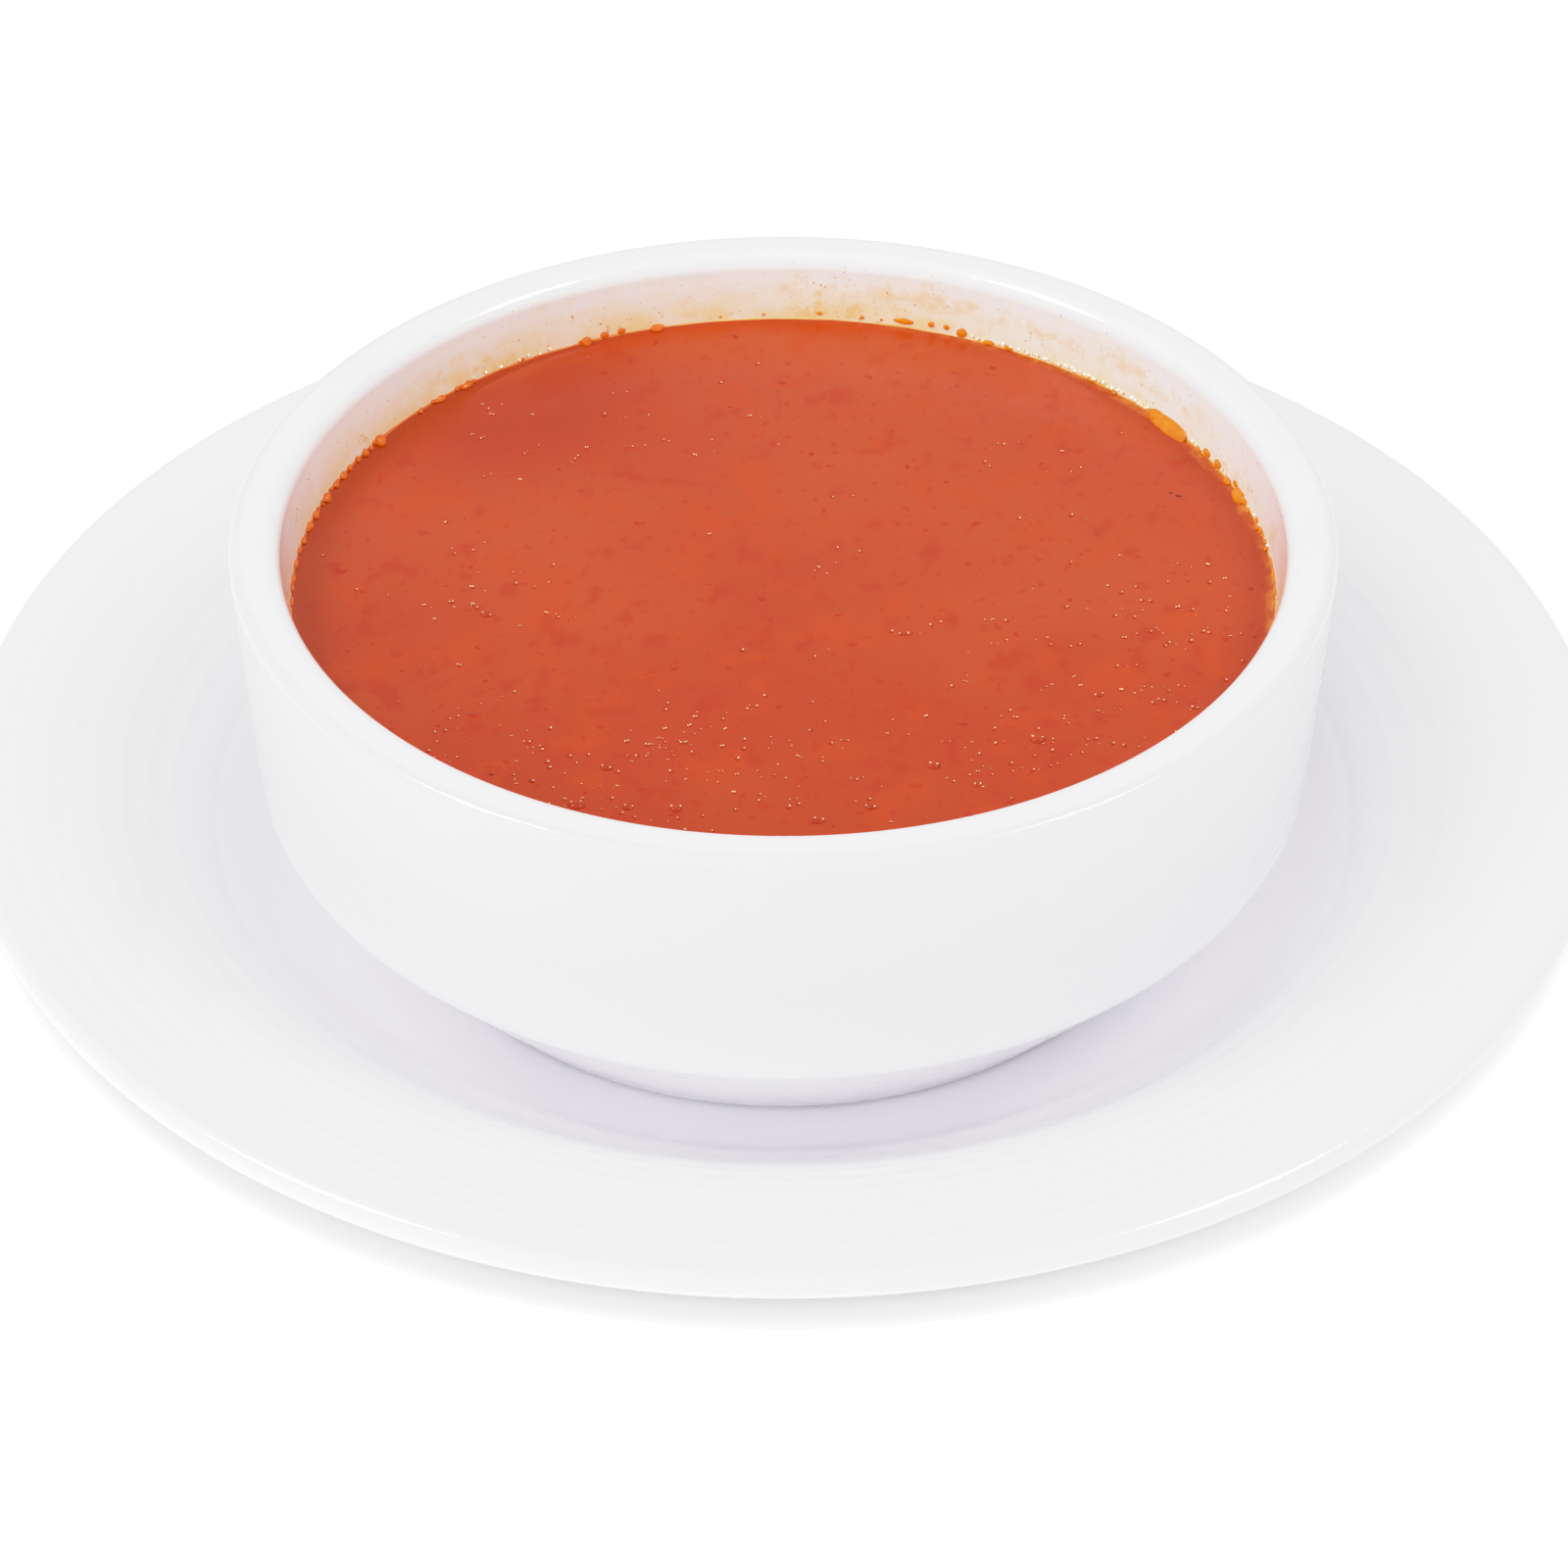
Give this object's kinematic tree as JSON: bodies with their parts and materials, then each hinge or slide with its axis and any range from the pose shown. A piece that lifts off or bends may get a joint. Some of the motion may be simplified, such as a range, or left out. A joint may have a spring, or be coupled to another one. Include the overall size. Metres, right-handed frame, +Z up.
{
  "type": "bowl of tomato soup on its saucer",
  "caption": "Smooth tomato soup in a thick round white porcelain bowl with a stepped-in foot, standing on its deep saucer with a finely ridged rim.",
  "frame": {"origin": "centre of the saucer's foot ring, on the table", "axes": "+Z is up, along the axis everything is turned about; the view of the reference is from -Y and above"},
  "size_m": [0.1824, 0.1824, 0.0541],
  "materials": {
    "saucer_glaze": "glossy white glaze",
    "bowl_glaze": "glossy white glaze",
    "tomato_soup": "wet, smooth, faintly mottled"
  },
  "bodies": {
    "root": {"saucer": "saucer_glaze", "bowl": "bowl_glaze", "soup": "tomato_soup"}
  },
  "joints": []
}
